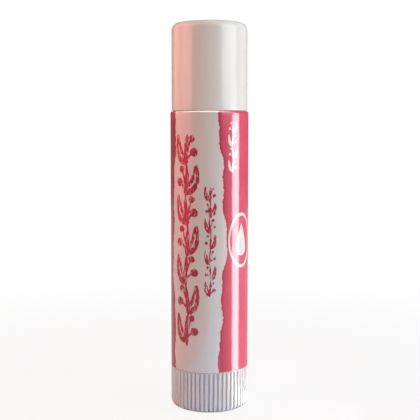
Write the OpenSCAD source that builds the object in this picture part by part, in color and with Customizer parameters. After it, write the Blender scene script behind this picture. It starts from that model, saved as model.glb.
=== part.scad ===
// Lip balm stick: a twist-up tube with a pull-off cap. It stands on its thumbwheel, and the
// origin is at the middle of the wheel's flat base. +Z runs up the stick, and -Y is the front.

/* [Barrel] */
// Diameter over the label, which is also the thumbwheel's
body_d = 15.2; // [14.8:0.1:17]
// Length of the barrel that shows between the thumbwheel and the cap
barrel_h = 50.1; // [40:0.1:60]
// Wall of the barrel between its outside and the bore that the balm slides up
barrel_wall = 1.68; // [1.5:0.02:2.2]
// Wall of the neck that the cap goes over
neck_wall = 0.65; // [0.55:0.05:0.8]
// Height of the neck above the shoulder
neck_h = 7; // [5:0.5:9]
// Rounding of the neck's rim
neck_rim_r = 0.2; // [0.1:0.05:0.3]
// Rounding of the shoulder's outer edge
shoulder_r = 0.5; // [0.2:0.05:0.7]
// Height that the friction ring on the neck stands proud
neck_ring_t = 0.1; // [0.05:0.01:0.15]
// Length of the friction ring along the neck
neck_ring_h = 1.2; // [0.8:0.1:2]
// Number of guide grooves inside the bore
guide_count = 4; // [2:1:6]
// Width of a guide groove
guide_w = 1.2; // [0.9:0.1:1.8]
// Depth of a guide groove
guide_t = 0.3; // [0.25:0.05:0.35]
// Depth of the socket that the thumbwheel's collar snaps into
socket_h = 3.4; // [3:0.1:5]
// Wall of the barrel round that socket
socket_wall = 1.05; // [0.9:0.05:1.15]

/* [Label] */
// Thickness of the printed film round the barrel
label_t = 0.1; // [0.05:0.01:0.2]
// Film left off at the barrel's bottom edge
label_margin = 0.15; // [0.15:0.05:1]
// How far the film goes round the shoulder's edge, in degrees
label_wrap = 42; // [10:1:50]
// Width of the butt seam where the film's two edges meet at the back
seam_w = 0.3; // [0.1:0.05:1]

/* [Cap] */
// Length of the cap
cap_h = 16.8; // [13.5:0.1:22]
// Side wall of the cap
cap_wall = 0.755; // [0.65:0.005:0.9]
// Thickness of the cap's closed end
cap_top_t = 1.2; // [0.8:0.1:2]
// Rounding of the cap's top edge
cap_r = 1.4; // [1.2:0.1:3]
// Rounding of the cap's rim
cap_rim_r = 0.15; // [0.05:0.05:0.25]
// Lead-in chamfer at the mouth of the cap
cap_mouth = 0.2; // [0.1:0.05:0.3]

/* [Thumbwheel] */
// Height of the ribbed grip
wheel_h = 7.8; // [6.5:0.1:11]
// Rounding of the grip's bottom edge
wheel_r = 1.1; // [0.5:0.1:2]
// Number of grip ribs
rib_count = 54; // [36:1:60]
// Depth of the furrows between the ribs
rib_t = 0.22; // [0.1:0.02:0.24]
// Plain band above the ribs
rib_band = 0.4; // [0.2:0.1:1]
// Floor of the thumbwheel
floor_t = 1.5; // [1.2:0.1:2.5]
// Diameter of the shallow recess in the base
recess_d = 9.6; // [6:0.2:11]
// Depth of that recess
recess_t = 0.35; // [0.2:0.05:0.5]
// Diameter of the moulding gate's mark in the recess
gate_d = 1.8; // [1:0.2:3]
// Depth of that mark
gate_t = 0.15; // [0.1:0.05:0.2]
// Wall of the snap collar
collar_wall = 0.9; // [0.7:0.05:1]
// Height that the collar's snap bead stands proud
bead_t = 0.25; // [0.15:0.05:0.3]
// Length of the snap bead along the collar
bead_h = 1.2; // [0.8:0.1:1.5]
// Slits that let the collar flex
slit_count = 4; // [2:1:6]
// Width of a slit
slit_w = 0.8; // [0.5:0.1:1.5]
// Wall of the hub round the spindle's foot
hub_wall = 1.1; // [0.9:0.1:1.3]

/* [Spindle] */
// Outer diameter of the thread
spindle_d = 4.2; // [3.8:0.1:4.6]
// Depth of the thread
thread_t = 0.6; // [0.4:0.05:0.7]
// Rise of the thread in one turn
pitch = 3; // [2.6:0.1:3.4]
// Width of the hexagonal foot across its flats
foot_w = 3.6; // [3:0.1:4]
// Diameter of the flange that rests on the hub
flange_d = 6; // [5.2:0.1:7]
// Thickness of that flange
flange_t = 0.8; // [0.5:0.1:1]
// Length of the plain tip
tip_h = 0.9; // [0.5:0.1:1.5]

/* [Carrier] */
// Height of the cup that holds the balm
cup_h = 7; // [5:0.5:9]
// Side wall of the cup
cup_wall = 0.65; // [0.5:0.05:0.9]
// Floor of the cup
cup_floor = 1; // [0.8:0.1:1.5]
// Height of the guide lugs on the cup
lug_h = 2; // [1.5:0.1:3]
// Wall of the threaded boss
boss_wall = 0.95; // [0.8:0.05:1.1]
// Length of the boss below the cup's floor
boss_drop = 3.6; // [3:0.1:3.8]
// Length of the boss above the cup's floor
boss_rise = 1.6; // [1:0.1:2.5]
// Number of grip ribs inside the cup
grip_count = 6; // [3:1:8]
// Width of a grip rib
grip_w = 0.8; // [0.6:0.1:1]
// Height that a grip rib stands in from the wall
grip_t = 0.9; // [0.5:0.1:1.2]
// Length of a grip rib above the floor
grip_h = 3.5; // [2:0.5:4]

/* [Balm] */
// Height of the balm's crown over the neck's rim
balm_proud = 0.9; // [0:0.1:3]
// Height of the balm's domed end
dome_h = 1.9; // [1:0.1:3.5]

/* [Fits] */
// Radial clearance of pieces that turn or slide in each other
run_fit = 0.1; // [0.08:0.01:0.12]
// Gap at faces that are seated, pressed, glued or cast on each other
seat_fit = 0.02; // [0.01:0.01:0.05]
// Gap between the thumbwheel and the barrel's bottom edge
wheel_gap = 0.1; // [0.05:0.05:0.3]
// Gap between the cap and the neck's friction ring
cap_fit = 0.03; // [0.01:0.01:0.06]
// Gap between the cap's rim and the shoulder
cap_gap = 0.05; // [0.03:0.01:0.2]
// Clearance of the threads, and of the balm round the spindle
thread_fit = 0.15; // [0.12:0.01:0.18]
// Gap over and under the carrier at its two stops
stop_gap = 0.3; // [0.2:0.1:0.5]
// Gap between the spindle's flange and the carrier's boss
boss_gap = 0.6; // [0.3:0.1:1]
// Distance of the carrier's rim under the neck's rim when it is wound right up
rim_gap = 1.4; // [1:0.1:3]
// Rounding that breaks a moulded edge
edge_r = 0.12; // [0.05:0.01:0.15]

/* [Hidden] */
$fn = 96;

// Every cut runs this far past the face it opens
over = 0.4;

// Heights, from the base up
barrel_z = wheel_h + wheel_gap;
socket_z = barrel_z + socket_h;
collar_z = socket_z - stop_gap / 2;
bead_z = barrel_z + socket_h / 2;
shoulder_z = barrel_z + barrel_h;
ring_z = shoulder_z + neck_h / 2;
neck_z = shoulder_z + neck_h;
cap_z = shoulder_z + cap_gap;
carrier_z = collar_z + stop_gap;
cup_floor_z = carrier_z + cup_floor;
cup_rim_z = carrier_z + cup_h;
boss_z = carrier_z - boss_drop;
boss_top_z = cup_floor_z + boss_rise;
flange_z = boss_z - boss_gap;
hub_z = flange_z - flange_t - seat_fit;
travel = neck_z - rim_gap - cup_rim_z;
thread_top_z = boss_top_z + travel;
crown_z = neck_z + balm_proud;

// Radii of the barrel and the cap
body_r = body_d / 2;
barrel_r = body_r - label_t - seat_fit;
bore_r = barrel_r - barrel_wall;
guide_r = bore_r + guide_t;
neck_r = bore_r + neck_wall;
socket_r = barrel_r - socket_wall;
cap_bore_r = neck_r + neck_ring_t + cap_fit;
cap_out_r = cap_bore_r + cap_wall;

// Radii of what turns and slides inside
collar_r = socket_r - run_fit;
collar_in_r = collar_r - collar_wall;
cup_r = bore_r - run_fit;
cup_in_r = cup_r - cup_wall;
crest_r = spindle_d / 2;
root_r = crest_r - thread_t;
nut_r = crest_r + thread_fit;
boss_r = nut_r + boss_wall;
foot_r = foot_w / 2 / cos(30);
hub_r = foot_r + hub_wall;

// Half widths of a furrow's floor and mouth, as shares of the ribs' half pitch
furrow_shares = [0.3, 0.62];

// The thread's outline in one pitch, as shares of it: where its root starts and ends, and where
// its crest starts and ends. The thread is left-handed: turning the wheel clockwise, seen from
// below, lifts the balm.
thread_shares = [0, 0.45, 0.6, 0.85];
thread_radii = [root_r, root_r, crest_r, crest_r];
thread_steps = 24;
thread_z = flange_z - pitch;

// How deep the inside thread's root is buried, as a share of the boss's wall
bury_share = 0.35;

// The spindle's tip and the tip's rounding, as shares of the thread's root radius
tip_shares = [0.9, 0.5];

// What lies outside a quarter circle of radius r, to cut a rounded corner
module corner_cut(r) {
    difference() {
        square(r + over);
        circle(r = r);
    }
}

// Section of a post or a tube's end, with its outer edges rounded at the bottom and the top
module rounded_section(out_r, h, low_r, high_r) {
    difference() {
        square([out_r, h]);
        translate([out_r - high_r, h - high_r]) corner_cut(high_r);
        translate([out_r - low_r, low_r]) mirror([0, 1]) corner_cut(low_r);
    }
}

// Section of a ring that stands t proud of radius r, with sloping sides
module bead_section(r, t, h) {
    polygon([[r - t, -h / 2], [r, -h / 2], [r + t, -h / 6], [r + t, h / 6], [r, h / 2], [r - t, h / 2]]);
}

module turned(z) {
    translate([0, 0, z]) rotate_extrude() children();
}

module ring(r_in, r_out, h, z) {
    translate([0, 0, z]) difference() {
        cylinder(h = h, r = r_out);
        translate([0, 0, -over]) cylinder(h = h + 2 * over, r = r_in);
    }
}

// Straight bars round the axis, which reach out to radius r_out
module bars(count, w, r_in, r_out, h, z) {
    for (i = [0:count - 1]) rotate([0, 0, 360 * i / count]) intersection() {
        translate([r_in, -w / 2, z]) cube([r_out - r_in + over, w, h]);
        translate([0, 0, z]) cylinder(h = h, r = r_out);
    }
}

// The point at step m of a left-handed helix of radius r that starts at height z
function helix_point(m, r, z) = [
    r * cos(360 * m / thread_steps),
    -r * sin(360 * m / thread_steps),
    z + pitch * m / thread_steps
];

function triangles(quads) = [for (q = quads) each [[q[0], q[1], q[2]], [q[0], q[2], q[3]]]];

function fan(middle, loop) = [for (i = [0:len(loop) - 1]) [middle, loop[i], loop[(i + 1) % len(loop)]]];

// The threaded rod as one strip wound on itself, four points wide, with a fan at each end
module threaded_rod(z, turns) {
    steps = turns * thread_steps;
    row = steps + 1;
    crest_row = 3 * row;
    rows = [for (k = [0:3]) for (m = [0:steps])
        helix_point(m, thread_radii[k], z + pitch * thread_shares[k])];
    low = [0, 0, z + pitch / 2];
    high = low + [0, 0, pitch * turns];
    strip = [for (k = [0:2]) for (m = [0:steps - 1])
        let (a = k * row + m, d = a + row) [a, a + 1, d + 1, d]];
    joins = [for (m = [0:steps - thread_steps - 1])
        let (a = crest_row + m, d = m + thread_steps) [a, a + 1, d + 1, d]];
    low_loop = concat([for (k = [0:3]) k * row], [for (m = [thread_steps:-1:1]) m]);
    high_loop = concat([for (m = [steps - thread_steps:steps]) crest_row + m],
        [for (k = [2:-1:0]) k * row + steps]);
    polyhedron(
        points = concat(rows, [low, high]),
        faces = concat(triangles(concat(strip, joins)),
            fan(len(rows), low_loop), fan(len(rows) + 1, high_loop))
    );
}

// The inside thread, which lies in the rod's root and is buried in the boss's wall
module nut_thread() {
    in_r = root_r + thread_fit;
    buried_r = nut_r + bury_share * boss_wall;
    flank = (thread_shares[2] - thread_shares[1]) * pitch / thread_t;
    half_in = (thread_shares[1] - thread_shares[0]) * pitch / 2 - thread_fit;
    half_out = half_in + flank * (buried_r - in_r);
    mid = thread_z + (thread_shares[0] + thread_shares[1]) * pitch / 2;
    first = ceil((boss_z + half_out - mid) / pitch * thread_steps);
    last = floor((boss_top_z - half_out - mid) / pitch * thread_steps);
    corners = [[buried_r, -half_out], [in_r, -half_in], [in_r, half_in], [buried_r, half_out]];
    loop = len(corners);
    end = loop * (last - first);
    sides = [for (i = [0:loop:end - loop]) for (k = [0:loop - 1])
        let (n = (k + 1) % loop) [i + k, i + n, i + n + loop, i + k + loop]];
    low_end = [for (k = [loop - 1:-1:0]) k];
    high_end = [for (k = [0:loop - 1]) end + k];
    polyhedron(
        points = [for (m = [first:last]) for (c = corners) helix_point(m, c[0], mid + c[1])],
        faces = triangles(concat(sides, [low_end, high_end]))
    );
}

// White moulded grip with its snap collar, and the hub that takes the spindle's foot
module thumbwheel() {
    furrow_half = furrow_shares * body_r * PI / rib_count;
    floor_r = body_r - rib_t;
    mouth_r = body_r + over;
    color("white") difference() {
        union() {
            turned(0) rounded_section(body_r, wheel_h, wheel_r, edge_r);
            ring(collar_in_r, collar_r, collar_z - wheel_h + over, wheel_h - over);
            turned(bead_z) bead_section(collar_r, bead_t, bead_h);
        }
        ring(hub_r, collar_in_r, hub_z - floor_t, floor_t);
        translate([0, 0, hub_z]) cylinder(h = collar_z - hub_z + over, r = collar_in_r);
        translate([0, 0, floor_t]) cylinder(h = hub_z - floor_t + over, r = foot_r + seat_fit, $fn = 6);
        translate([0, 0, -over]) linear_extrude(wheel_h - rib_band + over)
            for (i = [0:rib_count - 1]) rotate(360 * (i + 0.5) / rib_count) polygon([
                [floor_r, -furrow_half[0]], [body_r, -furrow_half[1]], [mouth_r, -furrow_half[1]],
                [mouth_r, furrow_half[1]], [body_r, furrow_half[1]], [floor_r, furrow_half[0]]
            ]);
        translate([0, 0, -over]) cylinder(h = recess_t + over, r = recess_d / 2);
        translate([0, 0, -over]) cylinder(h = recess_t + gate_t + over, r = gate_d / 2);
        for (i = [0:slit_count - 1]) rotate([0, 0, 360 * (i + 0.5) / slit_count])
            translate([collar_in_r - over, -slit_w / 2, barrel_z])
                cube([collar_wall + bead_t + 2 * over, slit_w, socket_h]);
    }
}

// White screw, pressed into the thumbwheel's hub, which lifts the carrier as it turns
module spindle() {
    tip_r = tip_shares[0] * root_r;
    tip_round = tip_shares[1] * root_r;
    thread_low_z = flange_z - flange_t / 2;
    color("whitesmoke") union() {
        translate([0, 0, floor_t + seat_fit])
            cylinder(h = hub_z - floor_t + flange_t / 2, r = foot_r, $fn = 6);
        translate([0, 0, hub_z + seat_fit]) cylinder(h = flange_t, r = flange_d / 2);
        intersection() {
            threaded_rod(thread_z, ceil((thread_top_z - thread_z) / pitch) + 1);
            translate([0, 0, thread_low_z]) cylinder(h = thread_top_z - thread_low_z, r = crest_r + over);
        }
        turned(thread_top_z - over) rounded_section(tip_r, tip_h + over, edge_r, tip_round);
    }
}

// Cup that carries the balm: its boss rides on the thread, and its lugs stop it from turning
module carrier() {
    color("gainsboro") union() {
        difference() {
            union() {
                translate([0, 0, carrier_z]) cylinder(h = cup_h, r = cup_r);
                translate([0, 0, boss_z]) cylinder(h = boss_drop + cup_floor, r = boss_r);
                bars(guide_count, guide_w - 2 * run_fit, cup_in_r, guide_r - run_fit, lug_h, carrier_z);
            }
            ring(boss_r, cup_in_r, boss_rise, cup_floor_z);
            translate([0, 0, boss_top_z]) cylinder(h = cup_h, r = cup_in_r);
            translate([0, 0, boss_z - over]) cylinder(h = boss_top_z - boss_z + 2 * over, r = nut_r);
        }
        nut_thread();
        bars(grip_count, grip_w, cup_in_r - grip_t, cup_in_r + cup_wall / 2,
            cup_floor / 2 + grip_h, cup_floor_z - cup_floor / 2);
    }
}

// Stick of balm, cast into the carrier's cup round the spindle
module balm() {
    dome_z = crown_z - dome_h;
    dome_r = (cup_r * cup_r + dome_h * dome_h) / (2 * dome_h);
    hole_z = thread_top_z + tip_h + stop_gap;
    color("lightpink") difference() {
        union() {
            translate([0, 0, cup_floor_z + seat_fit]) cylinder(h = cup_h, r = cup_in_r - seat_fit);
            translate([0, 0, cup_rim_z + seat_fit]) cylinder(h = dome_z - cup_rim_z - seat_fit, r = cup_r);
            intersection() {
                translate([0, 0, crown_z - dome_r]) sphere(r = dome_r);
                translate([0, 0, dome_z - over]) cylinder(h = dome_h + 2 * over, r = cup_r);
            }
        }
        translate([0, 0, cup_floor_z]) cylinder(h = boss_rise + seat_fit, r = boss_r + seat_fit);
        translate([0, 0, cup_floor_z]) cylinder(h = hole_z - cup_floor_z, r = nut_r);
        bars(grip_count, grip_w + 2 * seat_fit, cup_in_r - grip_t - seat_fit, cup_in_r,
            grip_h + seat_fit, cup_floor_z);
    }
}

// White tube with the neck for the cap, the guide grooves and the socket for the thumbwheel
module barrel() {
    guide_top_z = carrier_z + travel + lug_h + stop_gap;
    color("white") difference() {
        union() {
            turned(barrel_z) rounded_section(barrel_r, barrel_h, edge_r, shoulder_r);
            turned(shoulder_z - over) rounded_section(neck_r, neck_h + over, edge_r, neck_rim_r);
            turned(ring_z) bead_section(neck_r, neck_ring_t, neck_ring_h);
        }
        translate([0, 0, barrel_z]) cylinder(h = barrel_h + neck_h + over, r = bore_r);
        translate([0, 0, barrel_z - over]) cylinder(h = socket_h + over, r = socket_r);
        turned(bead_z) bead_section(socket_r, bead_t + run_fit, bead_h + 4 * run_fit);
        bars(guide_count, guide_w, bore_r - over, guide_r, guide_top_z - socket_z + over, socket_z - over);
    }
}

// Printed film, stuck round the barrel and over the edge of its shoulder
module label() {
    film_z = barrel_z + label_margin;
    in_r = shoulder_r + seat_fit;
    out_r = in_r + label_t;
    reach = out_r + over;
    color("crimson") difference() {
        union() {
            ring(barrel_r + seat_fit, body_r, shoulder_z - shoulder_r - film_z, film_z);
            turned(shoulder_z - shoulder_r) translate([barrel_r - shoulder_r, 0]) intersection() {
                difference() {
                    circle(r = out_r);
                    circle(r = in_r);
                }
                polygon([
                    [0, 0], [reach, 0], [reach, reach * tan(label_wrap / 2)],
                    [reach * cos(label_wrap), reach * sin(label_wrap)]
                ]);
            }
        }
        translate([-seam_w / 2, 0, film_z - over]) cube([seam_w, body_r + over, barrel_h + over]);
    }
}

// White glossy cap, held by the friction ring on the neck
module cap() {
    color("white") difference() {
        turned(cap_z) rounded_section(cap_out_r, cap_h, cap_rim_r, cap_r);
        turned(cap_z - over)
            rounded_section(cap_bore_r, cap_h - cap_top_t + over, edge_r, cap_r - cap_wall);
        translate([0, 0, cap_z]) cylinder(h = cap_mouth, r1 = cap_bore_r + cap_mouth, r2 = cap_bore_r);
        turned(ring_z) bead_section(cap_bore_r, neck_ring_t, neck_ring_h);
    }
}

thumbwheel();
spindle();
carrier();
balm();
barrel();
label();
cap();
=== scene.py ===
import math

import bpy
import numpy as np
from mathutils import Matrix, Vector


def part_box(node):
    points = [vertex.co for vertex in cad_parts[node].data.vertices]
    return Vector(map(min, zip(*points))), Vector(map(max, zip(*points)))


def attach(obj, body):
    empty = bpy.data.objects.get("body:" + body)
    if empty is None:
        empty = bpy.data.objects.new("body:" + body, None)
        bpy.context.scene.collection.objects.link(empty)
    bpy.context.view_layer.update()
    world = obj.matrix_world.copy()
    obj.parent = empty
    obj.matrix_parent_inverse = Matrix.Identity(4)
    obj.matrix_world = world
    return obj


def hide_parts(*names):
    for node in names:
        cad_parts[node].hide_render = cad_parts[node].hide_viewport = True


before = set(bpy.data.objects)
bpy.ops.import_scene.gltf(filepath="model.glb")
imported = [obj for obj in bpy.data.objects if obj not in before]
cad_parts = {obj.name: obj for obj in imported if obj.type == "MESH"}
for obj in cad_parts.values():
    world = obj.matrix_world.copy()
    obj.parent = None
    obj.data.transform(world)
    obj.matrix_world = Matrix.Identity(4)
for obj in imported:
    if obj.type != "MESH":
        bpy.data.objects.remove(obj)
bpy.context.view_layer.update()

# Thumbwheel. A white gloss polypropylene moulding, ribbed for the fingers, with the mark of its gate in
# the recess of its base. Its slit collar snaps into the barrel's foot and turns there, and its hub holds
# the spindle.
MM = 0.001
wheel_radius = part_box("thumbwheel")[1].x
collar_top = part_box("thumbwheel")[1].z
barrel_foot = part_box("barrel")[0].z
barrel_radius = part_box("barrel")[1].x
wheel_gap = 0.04 * MM
wheel_top = barrel_foot - wheel_gap
wheel_round = 1.1 * MM
rib_count = 54
rib_pitch = 2 * math.pi / rib_count
rib_depth = 0.4 * MM
rib_band = 0.08 * MM
rib_end = 0.1 * MM
furrow_floor_share = 0.1
furrow_wall_share = 0.16
furrow_wall_columns = 7
fade_start_share = 0.35
fade_length_share = 0.5
recess_radius = 4.8 * MM
recess_depth = 0.35 * MM
gate_radius = 0.9 * MM
gate_depth = 0.15 * MM
socket_depth = 3.4 * MM
socket_wall = 1.05 * MM
socket_radius = barrel_radius - socket_wall
snap_height = barrel_foot + socket_depth / 2
running_fit = 0.1 * MM
collar_wall = 0.9 * MM
collar_radius = socket_radius - running_fit
collar_bore = collar_radius - collar_wall
bead_proud = 0.25 * MM
bead_foot_half = 0.6 * MM
bead_crest_half = 0.2 * MM
slit_count = 4
slit_turn = math.pi / 4
slit_width = 0.8 * MM
wheel_floor = 1.5 * MM
hub_top = 6.43 * MM
hub_wall = 1.08 * MM
hexagon_flat = 1.82 * MM
hub_radius = hexagon_flat / math.cos(math.pi / 6) + hub_wall
fine_edge = 0.05 * MM
crisp_edge = 0.1 * MM
soft_edge = 0.12 * MM
gentle_edge = 0.2 * MM
near_enough = 0.01 * MM
wheel_white = (0.82, 0.815, 0.82)
# Painted shade: a grey put on the floors of the wheel's furrows, where shade falls, to deepen the ribs.
furrow_painted_shade = (0.64, 0.65, 0.665)
painted_shade_depth = 0.25 * MM
painted_shade_edge = 0.2 * MM
skin_relief = 0.012 * MM
small_round = 0.2 * MM
small_steps = 3
hold_share = 0.1
wall_turn = 1e-4
sharp_angle = math.radians(35)


def rounded(corners, steps=10):
    """Outline through (radius, height, rounding) corners. A rounding of 0 keeps its corner. Another one
    makes an arc that is tangent to both sides: its middle plus two arms, from the middle to the arc's
    ends, mixed by sin((1 - t) w) / sin w and sin(t w) / sin w, in a few steps if it is small. A point
    just off each end keeps the straight side flat."""
    place = np.array(corners, float)[:, :2]
    size = np.array(corners, float)[:, 2]
    back = np.roll(place, 1, axis=0) - place
    ahead = np.roll(place, -1, axis=0) - place
    back /= np.linalg.norm(back, axis=1, keepdims=True)
    ahead /= np.linalg.norm(ahead, axis=1, keepdims=True)
    outline = []
    for here, r, a, b in zip(place, size, back, ahead):
        if r == 0:
            outline.append(here[None])
            continue
        half = math.acos(a @ b) / 2
        start = here + a * r / math.tan(half)
        end = here + b * r / math.tan(half)
        middle = here + (a + b) / np.linalg.norm(a + b) * r / math.sin(half)
        sweep = math.pi - 2 * half
        share = np.linspace(0, 1, (steps if r > small_round else small_steps) + 1)[:, None]
        arms = np.sin((1 - share) * sweep) * (start - middle) + np.sin(share * sweep) * (end - middle)
        arc = middle + arms / math.sin(sweep)
        outline.append(np.concatenate([[start + a * r * hold_share], arc, [end + b * r * hold_share]]))
    return np.concatenate(outline)


def columns(count, edges=(), shares=(0,)):
    """Angles round the axis: at those shares of each of count equal steps, and a close pair at each edge,
    which makes a wall there."""
    pairs = np.add.outer(np.asarray(edges, float), [-wall_turn, wall_turn]).ravel()
    even = np.add.outer(np.arange(count), shares).ravel() * 2 * np.pi / count
    return np.sort(np.concatenate([even, pairs]) % (2 * np.pi))


def bar_edges(count, half, turn):
    """Angles of both edges of each of count bars, which are 2 half wide and start at turn."""
    return np.add.outer(turn + np.arange(count) * 2 * np.pi / count, [-half, half]).ravel()


def in_bars(angles, count, half, turn):
    """Which angles lie within half of a bar's middle, where the bars are 2 pi / count apart."""
    pitch = 2 * np.pi / count
    return np.abs((angles - turn + pitch / 2) % pitch - pitch / 2) < half


def piece(name, points, faces):
    """Mesh object at the origin, shaded smooth up to its real edges."""
    mesh = bpy.data.meshes.new(name)
    mesh.from_pydata(points.tolist(), [], faces)
    mesh.shade_smooth()
    mesh.set_sharp_from_angle(angle=sharp_angle)
    made = bpy.data.objects.new(name, mesh)
    bpy.context.scene.collection.objects.link(made)
    return made


def tiles(grid):
    """Four-sided faces between the neighbours in a grid of point numbers."""
    corners = [grid[:-1, :-1], grid[:-1, 1:], grid[1:, 1:], grid[1:, :-1]]
    return np.stack(corners, axis=-1).reshape(-1, 4).tolist()


def turned(name, section, angles):
    """Solid turned round +Z. A section's point (radius, height) at angle a lies at (radius sin a,
    -radius cos a, height), so that a = 0 is the front. The section runs anticlockwise, and is one
    outline for all angles or one for each. Ends on the axis close in fans, and a section with none
    closes on itself."""
    section = np.asarray(section, float)
    if section.ndim == 2:
        section = np.repeat(section[:, None], len(angles), axis=1)
    radius, height = section[..., 0], section[..., 1]
    rings = np.stack([radius * np.sin(angles), -radius * np.cos(angles), height], axis=-1)
    fans = radius[0, 0] == 0
    ends = rings[[0, -1], 0]
    if fans:
        rings = rings[1:-1]
    points = rings.reshape(-1, 3)
    index = np.arange(len(points)).reshape(rings.shape[:2])
    closed = index if fans else np.concatenate([index, index[:1]])
    faces = tiles(np.concatenate([closed, closed[:, :1]], axis=1))
    if fans:
        first, last = index[0], index[-1]
        bottom = np.full(len(angles), len(points))
        faces += np.stack([bottom, np.roll(first, -1), first], axis=-1).tolist()
        faces += np.stack([last, np.roll(last, -1), bottom + 1], axis=-1).tolist()
        points = np.concatenate([points, ends])
    return piece(name, points, faces)


class Wire:
    """A socket of a node tree. Arithmetic on it adds Math nodes, and node() adds any other node."""

    def __init__(self, tree, socket=None):
        self.tree = tree
        self.socket = socket

    def node(self, kind, settings, inputs, output=0):
        """Adds a node: its settings first, then the values or wires of its sockets."""
        made = self.tree.nodes.new(kind)
        for name, value in settings.items():
            setattr(made, name, value)
        for name, value in inputs.items():
            if isinstance(value, Wire):
                self.tree.links.new(value.socket, made.inputs[name])
            else:
                made.inputs[name].default_value = value
        return Wire(self.tree, made.outputs[output])

    def math(self, operation, *values):
        """A Math node on these values."""
        return self.node("ShaderNodeMath", {"operation": operation}, dict(enumerate(values)))

    def __add__(self, other):
        return self.math("ADD", self, other)

    def __sub__(self, other):
        return self.math("SUBTRACT", self, other)

    def __rsub__(self, other):
        return self.math("SUBTRACT", other, self)

    def __mul__(self, other):
        return self.math("MULTIPLY", self, other)

    __radd__ = __add__
    __rmul__ = __mul__

    def above(self, level, soft):
        """0 under the level, 1 over it, and a smooth step as wide as soft between them."""
        ends = {"Value": self, "From Min": level - soft / 2, "From Max": level + soft / 2}
        return self.node("ShaderNodeMapRange", {"interpolation_type": "SMOOTHSTEP"}, ends)

    def blend(self, first, second):
        """The first colour where the value is 0, and the second where it is 1."""
        return self.node("ShaderNodeMix", {"data_type": "RGBA"}, {0: self, 6: first, 7: second}, 2)

    def noise(self, size, detail, stretch=(1, 1, 1)):
        """Noise from 0 to 1 on this position. Its features have that size, and are longer along an axis
        whose stretch is less than 1."""
        placed = self.node("ShaderNodeMapping", {}, {"Vector": self, "Scale": stretch})
        return self.node("ShaderNodeTexNoise", {}, {"Vector": placed, "Scale": 1 / size, "Detail": detail})


def rgba(colour):
    """The colour at full opacity."""
    return (*colour, 1)


def scaled(colour, share):
    """The colour with that share of its light, at full opacity."""
    return rgba([part * share for part in colour])


def new_material(name):
    """A new material: itself, its main shader, and a wire that carries the Object position."""
    made = bpy.data.materials.new(name)
    made.use_nodes = True
    place = Wire(made.node_tree).node("ShaderNodeTexCoord", {}, {}, "Object")
    return made, made.node_tree.nodes["Principled BSDF"], place


def connect(shader, values):
    """Links or sets the main shader's sockets."""
    for name, value in values.items():
        if isinstance(value, Wire):
            value.tree.links.new(value.socket, shader.inputs[name])
        else:
            shader.inputs[name].default_value = value


def relief(place, height, depth):
    """Normal of a surface whose height, from 0 to 1, stands for that depth."""
    return place.node("ShaderNodeBump", {}, {"Strength": 1.0, "Distance": depth, "Height": height})


def gloss_plastic(name, colour, rough, scuff, seed, shade_radius=0):
    """Gloss plastic: a faintly cloudy colour, gloss that fine scuffs break, and the skin's slight ripple.
    Where it lies nearer to the axis than that radius, as in furrows, painted shade greys it."""
    made, shader, place = new_material(name)
    spoke = place.node("ShaderNodeVectorMath", {"operation": "MULTIPLY"}, {0: place, 1: (1, 1, 0)})
    reach = place.node("ShaderNodeVectorMath", {"operation": "LENGTH"}, {0: spoke}, "Value")
    # Painted shade: 0 in the furrows, nearer the axis than the given radius, and 1 outside them.
    unshaded = reach.above(shade_radius, painted_shade_edge)
    place = place.node("ShaderNodeVectorMath", {"operation": "ADD"}, {0: place, 1: (seed, seed, seed)})
    cloud = place.noise(6 * MM, 3)
    ripple = place.noise(1.8 * MM, 1, (1, 1, 0.4))
    grain = place.noise(0.12 * MM, 3)
    streak = place.noise(0.5 * MM, 4, (1, 1, 0.05)).above(0.66, 0.1)
    rings = place.noise(0.4 * MM, 3, (0.15, 0.15, 1.6)).above(0.68, 0.08)
    wear = streak.math("MAXIMUM", streak, rings) * scuff
    tint = cloud.blend(rgba(colour), scaled(colour, 0.965))
    tint = unshaded.blend(rgba(furrow_painted_shade), tint)
    height = ripple * 0.75 + grain * 0.06 - wear * 0.12
    connect(shader, {
        "Base Color": tint,
        "Roughness": rough + grain * 0.05 + wear * 0.22,
        "IOR": 1.5,
        "Normal": relief(place, height, skin_relief),
    })
    return made


outline = rounded([
    (0, recess_depth + gate_depth, 0),
    (gate_radius, recess_depth + gate_depth, fine_edge),
    (gate_radius, recess_depth, fine_edge),
    (recess_radius, recess_depth, crisp_edge),
    (recess_radius, 0, crisp_edge),
    (wheel_radius, 0, wheel_round),
    (wheel_radius, wheel_top - rib_band - rib_end, 0),
    (wheel_radius, wheel_top - rib_band, 0),
    (wheel_radius, wheel_top, fine_edge),
    (collar_radius, wheel_top, 0),
    (collar_radius, barrel_foot, 0),
    (collar_radius, snap_height - bead_foot_half, 0),
    (collar_radius + bead_proud, snap_height - bead_crest_half, 0),
    (collar_radius + bead_proud, snap_height + bead_crest_half, 0),
    (collar_radius, snap_height + bead_foot_half, 0),
    (collar_radius, collar_top, crisp_edge),
    (collar_bore, collar_top, crisp_edge),
    (collar_bore, barrel_foot, 0),
    (collar_bore, wheel_floor, gentle_edge),
    (hub_radius, wheel_floor, gentle_edge),
    (hub_radius, hub_top, soft_edge),
    (hexagon_flat, hub_top, 0),
    (hexagon_flat, wheel_floor, 0),
    (0, wheel_floor, 0),
])
slit_half = slit_width / 2 / collar_radius
wall = np.linspace(furrow_floor_share, furrow_floor_share + furrow_wall_share, furrow_wall_columns)
shares = np.concatenate([[0, 0.5], wall, 1 - wall])
angles = columns(rib_count, bar_edges(slit_count, slit_half, slit_turn), shares)
section = np.repeat(outline[:, None], len(angles), axis=1)

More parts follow.
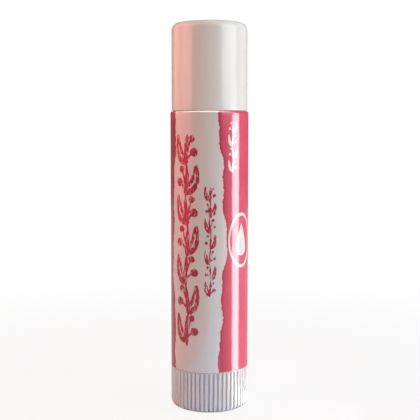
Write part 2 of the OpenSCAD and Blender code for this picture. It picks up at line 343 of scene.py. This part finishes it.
# The furrows: a raised cosine across each one, cut along the skirt's own normal, so that they run
# round the bottom edge and fade out under it.
skirt = (outline[:, 0] > wheel_radius - wheel_round) & (outline[:, 1] < wheel_top - rib_band - rib_end / 2)
arm = outline[skirt] - (wheel_radius - wheel_round, wheel_round)
arm[:, 1] = np.minimum(arm[:, 1], 0)
arm /= np.linalg.norm(arm, axis=1, keepdims=True)
fade = np.clip((arm[:, 0] - fade_start_share) / fade_length_share, 0, 1)
from_furrow = np.abs((angles / rib_pitch + 0.5) % 1 - 0.5)
ramp = np.clip((from_furrow - furrow_floor_share) / furrow_wall_share, 0, 1)
furrow = rib_depth * (0.5 + 0.5 * np.cos(np.pi * ramp))
section[skirt] -= (arm * fade[:, None])[:, None] * furrow[:, None]

# The collar's slits: in their columns the collar's outline lies flat, level with the barrel's foot,
# and the snap bead ends beside them.
collar = (outline[:, 1] > barrel_foot - near_enough) & (outline[:, 0] > collar_bore - near_enough)
flat = np.linspace(outline[collar][0], outline[collar][-1], collar.sum())
beside_slit = np.ix_(collar, in_bars(angles, slit_count, slit_half + 2 * wall_turn, slit_turn), [0])
section[beside_slit] = np.minimum(section[beside_slit], collar_radius)
in_slit = in_bars(angles, slit_count, slit_half, slit_turn)
section[np.ix_(collar, in_slit)] = flat[:, None]

# The hub's hexagonal hole: the distance to its flats over the cosine of the angle from their middle.
hole = (outline[:, 0] == hexagon_flat) & (outline[:, 1] > recess_depth + gate_depth)
section[hole, :, 0] /= np.cos((angles - math.pi / 6) % (math.pi / 3) - math.pi / 6)

thumbwheel = turned("ribbed_thumbwheel", section, angles)
# Painted shade greys the wheel nearer the axis than this radius, in its furrows.
shade_radius = wheel_radius - painted_shade_depth
wheel_plastic = gloss_plastic("wheel_white", wheel_white, rough=0.24, scuff=0.7, seed=0.31, shade_radius=shade_radius)
thumbwheel.data.materials.append(wheel_plastic)
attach(thumbwheel, "wheel")
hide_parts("thumbwheel")

# Spindle and carrier. Satin moulded polypropylene, unpigmented, so faintly grey and cloudy. The
# spindle is pressed into the wheel's hub, and its left-hand thread lifts the carrier, whose lugs
# slide in the barrel's grooves.
satin_grey = (0.72, 0.72, 0.68)
satin_pale = (0.80, 0.80, 0.77)
tool_relief = 0.01 * MM

satin, shader, place = new_material("natural_satin")
bloom = place.noise(1.4 * MM, 4)
tool_marks = place.noise(0.25 * MM, 2, (0.2, 0.2, 2.5))
connect(shader, {
    "Base Color": bloom.blend(rgba(satin_grey), rgba(satin_pale)),
    "Roughness": 0.42 + bloom * 0.15,
    "IOR": 1.49,
    "Normal": relief(place, tool_marks, tool_relief),
})
for name in ("spindle", "carrier"):
    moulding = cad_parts[name]
    moulding.data.materials.clear()
    moulding.data.materials.append(satin)

# Balm. A pale pink wax stick, poured into the carrier's cup through the open barrel with a domed
# former on top, so that its end is smooth and its side has the bore's polish with small sink
# marks. It locks on the cup's ribs.
balm_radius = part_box("balm")[1].x
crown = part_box("balm")[1].z
balm_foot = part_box("balm")[0].z
bore_radius = balm_radius + running_fit
dome_height = 1.9 * MM
dome_radius = (balm_radius**2 + dome_height**2) / (2 * dome_height)
dome_rows = 24
seat_fit = 0.02 * MM
cup_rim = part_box("carrier")[1].z + seat_fit
cup_inset = 0.67 * MM
cup_bore = balm_radius - cup_inset
boss_pocket = 3.22 * MM
boss_rise = 1.6 * MM
pocket_top = balm_foot + boss_rise
thread_bore = 2.25 * MM
bore_round = 0.3 * MM
solid_end = 5.5 * MM
bore_top = crown - solid_end
grip_count = 6
grip_turn = math.pi / 2
grip_half = 0.42 * MM
grip_slot = 4.11 * MM
grip_height = 3.5 * MM
grip_top = balm_foot + grip_height
grip_end = 0.05 * MM
hold_row = 0.3 * MM
balm_columns = 192
wax_deep = (0.86, 0.50, 0.47)
wax_pale = (0.90, 0.58, 0.55)
wax_relief = 0.03 * MM

lean = np.linspace(math.asin(balm_radius / dome_radius), 0, dome_rows)
dome = np.stack([dome_radius * np.sin(lean), crown - dome_radius + dome_radius * np.cos(lean)], axis=1)
dome[-1, 0] = 0
shank = rounded([
    (0, bore_top, 0),
    (thread_bore, bore_top, bore_round),
    (thread_bore, pocket_top, 0),
    (boss_pocket, pocket_top, 0),
    (boss_pocket, balm_foot, 0),
    (cup_bore, balm_foot, 0),
    (cup_bore, grip_top, 0),
    (cup_bore, grip_top + grip_end, 0),
    (cup_bore, cup_rim, 0),
    (balm_radius, cup_rim, 0),
    (balm_radius, cup_rim + hold_row, 0),
    (balm_radius, crown - dome_height - hold_row, 0),
    (balm_radius, crown, 0),
])[:-1]
outline = np.concatenate([shank, dome])
slot_half = grip_half / cup_bore
angles = columns(balm_columns, bar_edges(grip_count, slot_half, grip_turn))
section = np.repeat(outline[:, None], len(angles), axis=1)
slotted = (outline[:, 0] == cup_bore) & (outline[:, 1] <= grip_top)
section[np.ix_(slotted, in_bars(angles, grip_count, slot_half, grip_turn), [0])] = grip_slot

wax, shader, place = new_material("pink_wax")
cloud = place.noise(3.5 * MM, 3)
pits = place.noise(0.35 * MM, 2).above(0.70, 0.06)
drag = place.noise(0.6 * MM, 3, (1, 1, 0.12))
connect(shader, {
    "Base Color": cloud.blend(rgba(wax_deep), rgba(wax_pale)),
    "Roughness": 0.34 + drag * 0.2,
    "IOR": 1.44,
    "Subsurface Weight": 0.35,
    "Subsurface Scale": 1 * MM,
    "Subsurface Radius": (1.0, 0.45, 0.35),
    "Normal": relief(place, cloud * 0.5 + drag * 0.2 - pits * 0.5, wax_relief),
})
balm = turned("balm_stick", section, angles)
balm.data.materials.append(wax)
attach(balm, "carrier")
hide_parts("balm")

# Barrel. A white gloss polypropylene tube, injection moulded round a core. Its foot has the
# socket and snap groove for the thumbwheel's collar, its bore the grooves for the carrier's lugs,
# and its neck the friction ring that the cap clicks over.
neck_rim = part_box("barrel")[1].z
neck_height = 7 * MM
neck_wall = 0.65 * MM
neck_radius = bore_radius + neck_wall
shoulder = neck_rim - neck_height
shoulder_round = 0.5 * MM
neck_ring = shoulder + neck_height / 2
neck_ring_proud = 0.1 * MM
ring_foot_half = 0.6 * MM
ring_crest_half = 0.2 * MM
ring_round = 0.3 * MM
socket_top = barrel_foot + socket_depth
snap_groove_depth = 0.35 * MM
snap_groove_mouth_half = 0.8 * MM
snap_groove_floor_half = 0.27 * MM
groove_count = 4
groove_turn = math.pi / 2
groove_width = 1.2 * MM
groove_depth = 0.3 * MM
groove_radius = bore_radius + groove_depth
groove_rise = 0.9 * MM
groove_top = shoulder + groove_rise
barrel_columns = 256
white_plastic = (0.88, 0.88, 0.87)

outline = rounded([
    (socket_radius, barrel_foot, 0),
    (barrel_radius, barrel_foot, fine_edge),
    (barrel_radius, shoulder, shoulder_round),
    (neck_radius, shoulder, crisp_edge),
    (neck_radius, neck_ring - ring_foot_half, 0),
    (neck_radius + neck_ring_proud, neck_ring - ring_crest_half, ring_round),
    (neck_radius + neck_ring_proud, neck_ring + ring_crest_half, ring_round),
    (neck_radius, neck_ring + ring_foot_half, 0),
    (neck_radius, neck_rim, gentle_edge),
    (bore_radius, neck_rim, soft_edge),
    (bore_radius, groove_top + hold_row, 0),
    (bore_radius, groove_top, 0),
    (bore_radius, socket_top, 0),
    (socket_radius, socket_top, 0),
    (socket_radius, snap_height + snap_groove_mouth_half, 0),
    (socket_radius + snap_groove_depth, snap_height + snap_groove_floor_half, 0),
    (socket_radius + snap_groove_depth, snap_height - snap_groove_floor_half, 0),
    (socket_radius, snap_height - snap_groove_mouth_half, 0),
])
groove_half = groove_width / 2 / bore_radius
angles = columns(barrel_columns, bar_edges(groove_count, groove_half, groove_turn))
section = np.repeat(outline[:, None], len(angles), axis=1)
grooved = (outline[:, 0] == bore_radius) & (outline[:, 1] <= groove_top)
section[np.ix_(grooved, in_bars(angles, groove_count, groove_half, groove_turn), [0])] = groove_radius

barrel = turned("barrel_tube", section, angles)
barrel.data.materials.append(gloss_plastic("barrel_white", white_plastic, rough=0.2, scuff=1.0, seed=0.57))
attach(barrel, "barrel")
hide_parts("barrel")

# Label. A thin printed film with a gloss laminate, wrapped round the barrel from seam to seam at
# the back and ironed over the shoulder's edge. The print is a crimson field with a white,
# rough-edged band up the front, brushed leaves and berries on the band, and a ringed drop beside it.
film_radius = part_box("label")[1].x
film_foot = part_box("label")[0].z
film_bend = shoulder - shoulder_round
film_thick = 0.1 * MM
film_wrap = math.radians(42)
film_relief = 0.012 * MM
seam_width = 0.3 * MM
print_half = 11.4 * MM
print_step = 0.2 * MM
print_columns = 150
back_columns = 16
bend_rows = 7
crimson = (0.74, 0.062, 0.14)
# The deep crimson is the field's painted shade at the stick's left side, and the colour of its random
# clouds.
crimson_shade_and_cloud = (0.40, 0.012, 0.035)
brush_red = (0.44, 0.012, 0.055)
paper_white = (0.82, 0.79, 0.775)
torn_fibre = (0.93, 0.72, 0.72)
torn_shade = (0.24, 0.012, 0.035)


def film_face(radius, bend_radius, heights, bends):
    """Face of the film: a straight wall up to the bend, then an arc about the shoulder's rounding."""
    straight = np.stack([np.full(len(heights), radius), heights], axis=1)
    out, up = radius - bend_radius + bend_radius * np.cos(bends), film_bend + bend_radius * np.sin(bends)
    return np.concatenate([straight, np.stack([out, up], axis=1)])


def sheet(name, front, back, angles):
    """Closed sheet between two faces with the same rows, bent round +Z from the first angle to the last."""
    radius = np.stack([front[:, 0], back[:, 0]])[..., None]
    height = np.stack([front[:, 1], back[:, 1]])[..., None] + 0 * angles
    grid = np.stack([radius * np.sin(angles), -radius * np.cos(angles), height], axis=-1)
    index = np.arange(grid.shape[0] * grid.shape[1] * grid.shape[2]).reshape(grid.shape[:3])
    outer, inner = index
    faces = tiles(outer) + tiles(inner.T)
    ends = ((inner[0], outer[0]), (outer[-1], inner[-1]))
    sides = ((outer[:, 0], inner[:, 0]), (inner[:, -1], outer[:, -1]))
    for rim in ends + sides:
        faces += tiles(np.stack(rim))
    return piece(name, grid.reshape(-1, 3), faces), grid


def stroke(across, up, path, half_width, steps=40):
    """Height of a brush stroke over the print: its half width, less the distance to the nearest point of
    the quadratic curve (1 - t)^2 a + 2 t (1 - t) b + t^2 c. The width swells and fades as sin(pi t) to
    a power."""
    t = np.linspace(0, 1, steps)
    a, b, c = (np.array(p)[:, None] for p in path)
    x, z = (1 - t) ** 2 * a + 2 * t * (1 - t) * b + t**2 * c
    width = half_width * (0.22 + 0.78 * np.sin(np.pi * (0.06 + 0.92 * t)) ** 0.7)
    return (width - np.hypot(across[..., None] - x, up[..., None] - z)).max(-1)


def sprig(across, up, foot, top, middle, reach, width, count):
    """Brushed sprig up the print: a stem that sways a little from node to node. Each node bears one curled
    leaf with a light vein, and two berries on stalks at its other side. The sides alternate. Its points
    are shares of its pitch along it and of its reach across it."""
    pitch = (top - foot) / count
    ink = np.full(across.shape, -1.0)
    for k in range(count):
        side = 1 if k % 2 else -1
        here, there = (middle + 0.13 * reach * math.sin(2.1 * n) for n in (k, k + 1))
        base = foot + k * pitch
        node = (here, base + 0.1 * pitch)
        bow = (middle + side * 0.12 * reach, base + 0.5 * pitch)
        stem = stroke(across, up, ((here, base - 0.05 * pitch), bow, (there, base + pitch)), width * 0.5)
        elbow = (middle + side * 0.85 * reach, base + 0.12 * pitch)
        leaf = stroke(across, up, (node, elbow, (middle + side * 0.95 * reach, base + 0.95 * pitch)), width)
        start = (here + side * 0.3 * reach, base + 0.24 * pitch)
        curl = (middle + side * 0.76 * reach, base + 0.27 * pitch)
        end = (middle + side * 0.9 * reach, base + 0.74 * pitch)
        vein = stroke(across, up, (start, curl, end), width * 0.15)
        ink = np.maximum(ink, np.maximum(stem, np.minimum(leaf, -vein)))
        for out, rise, size in ((0.74, 0.42, 0.85), (0.5, 0.86, 0.7)):
            berry = (middle - side * out * reach, base + rise * pitch)
            bend = (here - side * 0.1 * reach, base + 0.7 * rise * pitch)
            stalk = stroke(across, up, (node, bend, berry), width * 0.24)
            fruit = width * size - np.hypot(across - berry[0], up - berry[1])
            ink = np.maximum(ink, np.maximum(stalk, fruit))
    return ink


def wave(up, terms):
    """Sum of sines of the height, each with its size, wavelength and phase."""
    return sum(size * np.sin(2 * np.pi * up / length + phase) for size, length, phase in terms)


seam_half = seam_width / 2 / film_radius
front_half = print_half / film_radius
back = np.linspace(front_half, np.pi - seam_half, back_columns)[1:]
angles = np.concatenate([-back[::-1], np.linspace(-front_half, front_half, print_columns), back])
heights = np.linspace(film_foot, film_bend, int((film_bend - film_foot) / print_step) + 1)
bends = np.linspace(0, film_wrap, bend_rows)[1:]
outside = film_face(film_radius, shoulder_round + seat_fit + film_thick, heights, bends)
inside = film_face(film_radius - film_thick, shoulder_round + seat_fit, heights, bends)
label, grid = sheet("label_film", outside, inside, angles)

# The print: how far each point lies inside the white band, the brushed sprigs and the white marks.
up = grid[..., 2]
across = np.broadcast_to(angles * film_radius, up.shape)
left_side = -8.1 * MM
left_waves = ((0.45 * MM, 47 * MM, 0.5), (0.25 * MM, 17 * MM, 1.0), (0.12 * MM, 7 * MM, 0.3))
right_side = 2.75 * MM
right_waves = ((0.6 * MM, 41 * MM, 2.6), (0.35 * MM, 15 * MM, 0.4), (0.16 * MM, 6 * MM, 1.0))
left_edge = left_side + wave(up, left_waves)
right_edge = right_side + wave(up, right_waves)
band = np.minimum(across - left_edge, right_edge - across)
bold_size = {"middle": -4.5 * MM, "reach": 2.25 * MM, "width": 0.96 * MM, "count": 7}
fine_size = {"middle": 0.3 * MM, "reach": 1.0 * MM, "width": 0.38 * MM, "count": 7}
white_size = {"middle": 4.9 * MM, "reach": 0.95 * MM, "width": 0.32 * MM, "count": 4}
bold_sprig = sprig(across, up, foot=13.5 * MM, top=53.5 * MM, **bold_size)
fine_sprig = sprig(across, up, foot=22.8 * MM, top=43.8 * MM, **fine_size)
white_sprig = sprig(across, up, foot=46.4 * MM, top=56.0 * MM, **white_size)
ink = np.maximum(bold_sprig, fine_sprig)

ring_middle = (7.25 * MM, 33.3 * MM)
ring_half = (3.2 * MM, 5.0 * MM)
ring_line = 0.2 * MM
drop_round = 1.5 * MM
drop_point = 3.4 * MM
drop_power = 1.5
x, z = across - ring_middle[0], up - ring_middle[1]
ring = ring_line - np.abs(np.hypot(x / ring_half[0], z / ring_half[1]) - 1) * ring_half[0]
share = np.clip((z + drop_round) / (drop_point + drop_round), 0, 1)
taper = drop_round * (1 - share**drop_power) - np.abs(x)
drop = np.where(z < -drop_round, drop_round - np.hypot(x, z + drop_round), taper)
drop = np.where(z > drop_point, -np.hypot(x, z - drop_point), drop)
mark = np.maximum(np.maximum(ring, drop), white_sprig)
for name, values in (("band", band), ("ink", ink), ("mark", mark)):
    attribute = label.data.attributes.new(name, "FLOAT", "POINT")
    attribute.data.foreach_set("value", values.astype(np.float32).ravel())

film, shader, place = new_material("printed_film")


def printed(name):
    """Distance in millimetres from the edge of that part of the print, over 0 inside it."""
    return place.node("ShaderNodeAttribute", {"attribute_name": name}, {}, "Fac") * (1 / MM)


tear = place.noise(0.9 * MM, 5) - 0.5
fibre = place.noise(0.28 * MM, 4) - 0.5
bristle = place.noise(0.3 * MM, 3, (1, 1, 0.35)) - 0.5
mottle = place.noise(0.5 * MM, 3)
cloud = place.noise(8 * MM, 2)
torn = printed("band") + tear * 0.75 + fibre * 0.3
paper = torn.above(0.0, 0.06)
core = (printed("band") + tear * 0.75 + fibre * 0.9).above(0.28, 0.1)
shade = (torn + 0.45).above(0.1, 0.7) * (1 - paper)
brushed = (printed("ink") + bristle * 0.42 + fibre * 0.12).above(0.0, 0.06)
dry = place.noise(0.22 * MM, 3, (1, 1, 0.2)).above(0.60, 0.08) * (1 - printed("ink").above(0.45, 0.5))
marked = (printed("mark") + fibre * 0.05).above(0.0, 0.05)
across_print = place.node("ShaderNodeSeparateXYZ", {}, {0: place}, "X")
# Painted shade: the field turns deep crimson towards the stick's left side, away from the lamps at its
# right; clouds of the same deep crimson mottle it at random.
field = across_print.above(0, film_radius * 1.7).blend(rgba(crimson_shade_and_cloud), rgba(crimson))
field = (mottle * 0.3 + cloud * 0.7 - 0.5).blend(field, rgba(crimson_shade_and_cloud))
field = (shade * 0.45).blend(field, rgba(torn_shade))
sheet_white = mottle.blend(rgba(paper_white), scaled(paper_white, 0.95))
sheet_white = core.blend(rgba(torn_fibre), sheet_white)
brush = mottle.blend(rgba(brush_red), scaled(brush_red, 1.25))
painted = (brushed * (1 - dry * 0.75)).blend(sheet_white, brush)
colour = paper.blend(marked.blend(field, rgba(paper_white)), painted)
ripple = place.noise(2.6 * MM, 2, (1, 1, 0.35))
grain = place.noise(0.1 * MM, 2)
connect(shader, {
    "Base Color": colour,
    "Roughness": 0.45 + mottle * 0.04,
    "Specular IOR Level": 0.1,
    "Coat Weight": 1.0,
    "Coat Roughness": 0.13,
    "Coat IOR": 1.5,
    "Normal": relief(place, ripple * 0.8 + grain * 0.04 + brushed * 0.08, film_relief),
})
label.data.materials.append(film)
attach(label, "barrel")
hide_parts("label")

# Cap. A white gloss polypropylene moulding with a rounded end, polished in the mould, where the gate
# leaves a dimple. It clicks over the neck's friction ring, and a chamfer at its mouth leads it on.
cap_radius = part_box("cap")[1].x
cap_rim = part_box("cap")[0].z
cap_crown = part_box("cap")[1].z
cap_wall = 0.755 * MM
cap_bore = cap_radius - cap_wall
cap_end = 1.2 * MM
cap_ceiling = cap_crown - cap_end
cap_round = 1.4 * MM
cap_rim_round = 0.03 * MM
cap_mouth = 0.2 * MM
dimple_radius = 0.8 * MM
dimple_floor = 0.5 * MM
dimple_depth = 0.05 * MM
cap_columns = 288

outline = rounded([
    (0, cap_ceiling, 0),
    (cap_bore, cap_ceiling, cap_round - cap_wall),
    (cap_bore, neck_ring + ring_foot_half, 0),
    (cap_bore + neck_ring_proud, neck_ring + ring_crest_half, 0),
    (cap_bore + neck_ring_proud, neck_ring - ring_crest_half, 0),
    (cap_bore, neck_ring - ring_foot_half, 0),
    (cap_bore, cap_rim + cap_mouth, 0),
    (cap_bore + cap_mouth, cap_rim, 0),
    (cap_radius, cap_rim, cap_rim_round),
    (cap_radius, cap_crown, cap_round),
    (dimple_radius, cap_crown, 0),
    (dimple_floor, cap_crown - dimple_depth, 0),
    (0, cap_crown - dimple_depth, 0),
], steps=16)
cap = turned("pull_off_cap", outline, columns(cap_columns))
cap.data.materials.append(gloss_plastic("cap_white", white_plastic, rough=0.13, scuff=0.8, seed=0.83))
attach(cap, "cap")
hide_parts("cap")

# Studio. The stick stands on a pale sweep that turns pure white further out and keeps its shadow. The
# camera sees the sweep and the room white, and the gloss shows a tenth of that white.
floor_half = 1.2
floor_count = 25
floor_clear = (0.05, 0.16)
floor_lift = 0.86
floor_pale = (0.75, 0.75, 0.75)
floor_grey = (0.73, 0.73, 0.73)
room_white = 0.1
room_dim = (1, 0.82, 0.76)
room_dim_strength = 0.115
pure_white = (1, 1, 1)


def sight(wire):
    """1 where the camera looks straight at it, less where a gloss or a clear piece shows it, else 0."""
    rays = ("Is Camera Ray", "Is Glossy Ray", "Is Transmission Ray")
    direct, gloss, clear = (wire.node("ShaderNodeLightPath", {}, {}, ray) for ray in rays)
    return direct + gloss.math("MAXIMUM", gloss, clear) * room_white


run = np.linspace(-floor_half, floor_half, floor_count)
grid_x, grid_y = np.meshgrid(run, run)
points = np.stack([grid_x, grid_y, 0 * grid_x], axis=-1).reshape(-1, 3)
floor = piece("floor", points, tiles(np.arange(len(points)).reshape(grid_x.shape)))
sweep, shader, place = new_material("pale_sweep")
distance = place.node("ShaderNodeVectorMath", {"operation": "LENGTH"}, {0: place}, "Value")
ends = {"Value": distance, "From Min": floor_clear[0], "From Max": floor_clear[1], "To Min": floor_lift}
lift = place.node("ShaderNodeMapRange", {"interpolation_type": "SMOOTHSTEP"}, ends)
glow = place.node("ShaderNodeEmission", {}, {"Color": rgba(pure_white), "Strength": 1.0})
grain = place.noise(4 * MM, 3)
connect(shader, {"Base Color": grain.blend(rgba(floor_pale), rgba(floor_grey)), "Roughness": 0.6})
cover = Wire(sweep.node_tree, shader.outputs[0])
mixed = place.node("ShaderNodeMixShader", {}, {0: lift * sight(place), 1: cover, 2: glow})
sweep.node_tree.links.new(mixed.socket, sweep.node_tree.nodes["Material Output"].inputs["Surface"])
floor.data.materials.append(sweep)

world = bpy.data.worlds.new("studio")
world.use_nodes = True
sky = Wire(world.node_tree)
dim = sky.node("ShaderNodeBackground", {}, {"Color": rgba(room_dim), "Strength": room_dim_strength})
shown = sky.node("ShaderNodeBackground", {}, {"Color": rgba(pure_white), "Strength": 1.0})
both = sky.node("ShaderNodeMixShader", {}, {0: sight(sky), 1: dim, 2: shown})
world.node_tree.links.new(both.socket, world.node_tree.nodes["World Output"].inputs["Surface"])
bpy.context.scene.world = world


def softbox(name, place, turn, size, radiance, shows, spread=180):
    """Rectangular softbox. Its power is its radiance times pi times its area, and its colour shares that
    out. It lights the matt part of surfaces, or it shows in their gloss."""
    lamp = bpy.data.lights.new(name, "AREA")
    lamp.shape = "RECTANGLE"
    lamp.size, lamp.size_y = size
    lamp.energy = max(radiance) * math.pi * size[0] * size[1]
    lamp.color = [part / max(radiance) for part in radiance]
    lamp.spread = math.radians(spread)
    made = bpy.data.objects.new(name, lamp)
    made.location = place
    made.rotation_euler = turn
    made.visible_camera = False
    made.visible_diffuse = shows == "matt"
    made.visible_glossy = shows == "gloss"
    bpy.context.scene.collection.objects.link(made)


def upright(name, azimuth, half, distance, low, high, radiance, shows):
    """Softbox that stands at an azimuth from the front, in degrees, and faces the stick's axis. It covers
    that half angle to both sides as the axis sees it."""
    turn = math.radians(azimuth)
    size = (2 * distance * math.tan(math.radians(half)), high - low)
    place = (distance * math.sin(turn), -distance * math.cos(turn), (low + high) / 2)
    softbox(name, place, (math.pi / 2, 0, turn), size, radiance, shows)


def lying(name, azimuth, near, far, left, right, height, radiance):
    """Softbox for the gloss that lies level at a height, face up, or face down if it hangs over the
    stick. It reaches from near to far along an azimuth from the axis, and to the left and the right of
    that line."""
    turn = math.radians(azimuth)
    along, side = (near + far) / 2, (left + right) / 2
    x = along * math.sin(turn) + side * math.cos(turn)
    y = side * math.sin(turn) - along * math.cos(turn)
    tilt, spread = (0, 100) if height > shoulder else (math.pi, 180)
    softbox(name, (x, y, height), (tilt, 0, turn), (right - left, far - near), radiance, "gloss", spread)


# The matt lamps: neutral ones at the right, warm ones at the left and a dim one behind. Each line gives
# the azimuth and the half angle in degrees, then the distance and the heights of both ends in metres,
# and the radiance.
upright("right_key", 100, 24, 0.3, 0.002, 0.35, (1.9, 1.98, 2.02), "matt")
upright("right_fill", 58, 13, 0.3, 0.002, 0.35, (3.0, 3.0, 3.0), "matt")
upright("left_key", -65, 20, 0.3, 0.06, 0.35, (0.9, 0.45, 0.3), "matt")
upright("left_glow", -75, 25, 0.09, 0.062, 0.15, (1.3, 0.32, 0.18), "matt")
upright("left_fill", -110, 25, 0.3, 0.05, 0.35, (1.05, 0.9, 0.87), "matt")
upright("back_fill", 180, 40, 0.4, 0.002, 0.35, (1.2, 1.2, 1.2), "matt")

# The gloss lamps: a strip at each side of the film, tall cards round the cap, a cool card and the right
# strip's reach on the floor, and a glint over the shoulder. A small matt lamp hangs overhead.
upright("right_strip", 75, 11.5, 0.03, 0.0005, 0.0585, (12.5, 12.5, 12.5), "gloss")
lying("right_glint", 75, 0.008, 0.0295, -0.0045, 0.0045, 0.0005, (12.0, 12.0, 12.0))
upright("cap_right", 62, 25, 0.3, 0.064, 0.45, (3.5, 3.85, 3.95), "gloss")
upright("cap_left", -69, 17, 0.3, 0.064, 0.45, (4.8, 1.9, 1.6), "gloss")
upright("cap_edge", -106, 24, 0.28, 0.064, 0.45, (2.4, 0.8, 0.7), "gloss")
upright("left_strip", -80, 28, 0.09, 0.02, 0.0605, (2.2, 0.2, 0.3), "gloss")
lying("front_card", 24, 0.002, 0.15, -0.038, 0.005, 0.0005, (0.1, 1.3, 2.6))
lying("shoulder_glint", 0, -0.016, 0.014, -0.02, 0.008, 0.064, (8.0, 7.2, 6.2))
softbox("top_card", (0, 0, 0.35), (0, 0, 0), (0.14, 0.14), (4.0, 3.8, 3.6), "matt")

# Camera. A short telephoto at nearly the shoulder's height, which looks down slightly, as the
# photograph does.
camera = bpy.data.cameras.new("camera")
camera.sensor_width = 36
camera.lens = 77.8
eye = bpy.data.objects.new("camera", camera)
eye.location = (3.7 * MM, -177.7 * MM, 55.0 * MM)
eye.rotation_euler = (math.radians(90 - 5.25), 0, math.radians(1.16))
bpy.context.scene.collection.objects.link(eye)
bpy.context.scene.camera = eye
bpy.context.scene.view_settings.view_transform = "Standard"
